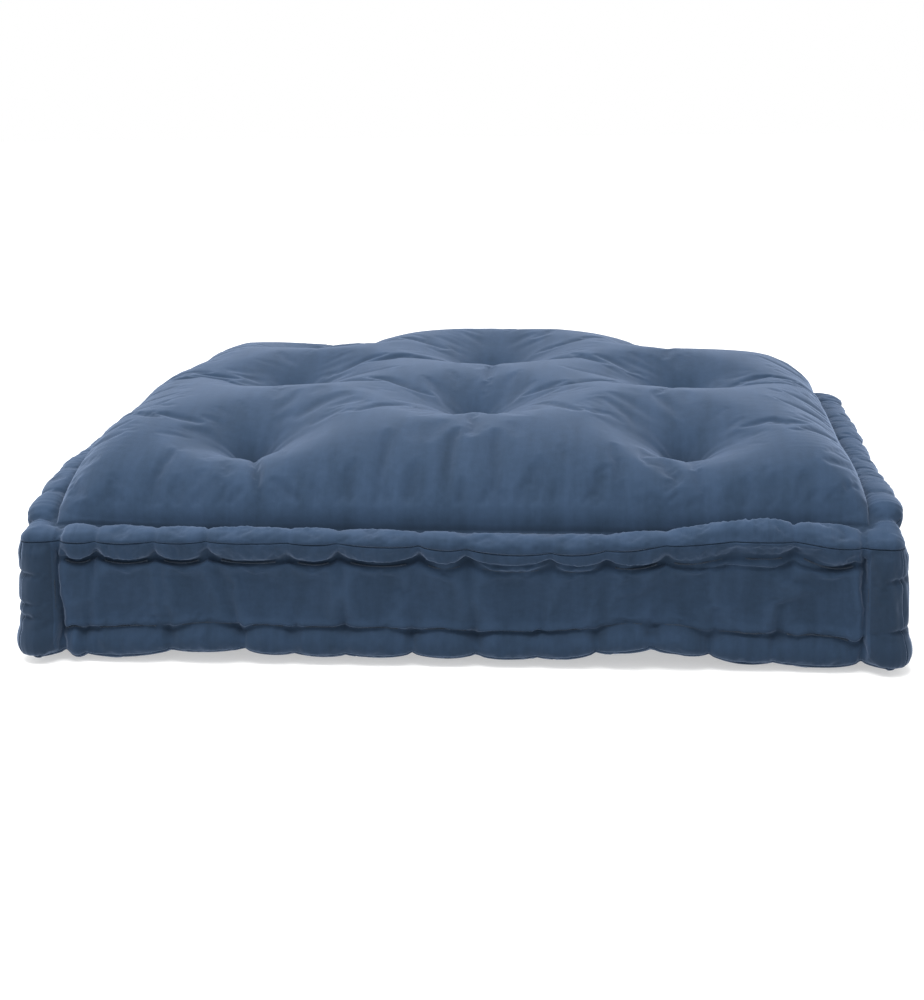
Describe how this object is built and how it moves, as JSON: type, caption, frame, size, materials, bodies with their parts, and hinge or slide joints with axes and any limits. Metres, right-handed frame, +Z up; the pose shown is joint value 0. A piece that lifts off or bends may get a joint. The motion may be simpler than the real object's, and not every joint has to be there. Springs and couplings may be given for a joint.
{
  "type": "floor cushion",
  "caption": "Square tufted floor cushion with a crowned top and stuffed, stitched rolled edges, in a brushed cotton cover.",
  "frame": {"origin": "middle of the underside, on the plane that the cushion rests on", "axes": "+Z up, -Y towards the front side, +X to the right of someone who faces the front"},
  "size_m": [0.914, 0.914, 0.224],
  "materials": {
    "brushed_cotton": "matte",
    "cotton_wadding": "matte",
    "tufting_twine": "matte",
    "stitching_thread": "matte"
  },
  "bodies": {
    "root": {"filling": "cotton_wadding", "top_panel": "brushed_cotton", "bottom_panel": "brushed_cotton", "side_panel_front": "brushed_cotton", "top_roll_front": "cotton_wadding", "bottom_roll_front": "cotton_wadding", "side_panel_right": "brushed_cotton", "top_roll_right": "cotton_wadding", "bottom_roll_right": "cotton_wadding", "side_panel_back": "brushed_cotton", "top_roll_back": "cotton_wadding", "bottom_roll_back": "cotton_wadding", "side_panel_left": "brushed_cotton", "top_roll_left": "cotton_wadding", "bottom_roll_left": "cotton_wadding", "corner_roll_front_left": "cotton_wadding", "corner_roll_front_right": "cotton_wadding", "corner_roll_back_right": "cotton_wadding", "corner_roll_back_left": "cotton_wadding", "tuft_tie_1": "tufting_twine", "tuft_tie_2": "tufting_twine", "tuft_tie_3": "tufting_twine", "tuft_tie_4": "tufting_twine", "tuft_tie_5": "tufting_twine", "tuft_tie_6": "tufting_twine", "tuft_tie_7": "tufting_twine", "tuft_tie_8": "tufting_twine", "stitch_thread_top": "stitching_thread", "stitch_thread_bottom": "stitching_thread", "stitch_thread_corners": "stitching_thread"}
  },
  "joints": []
}
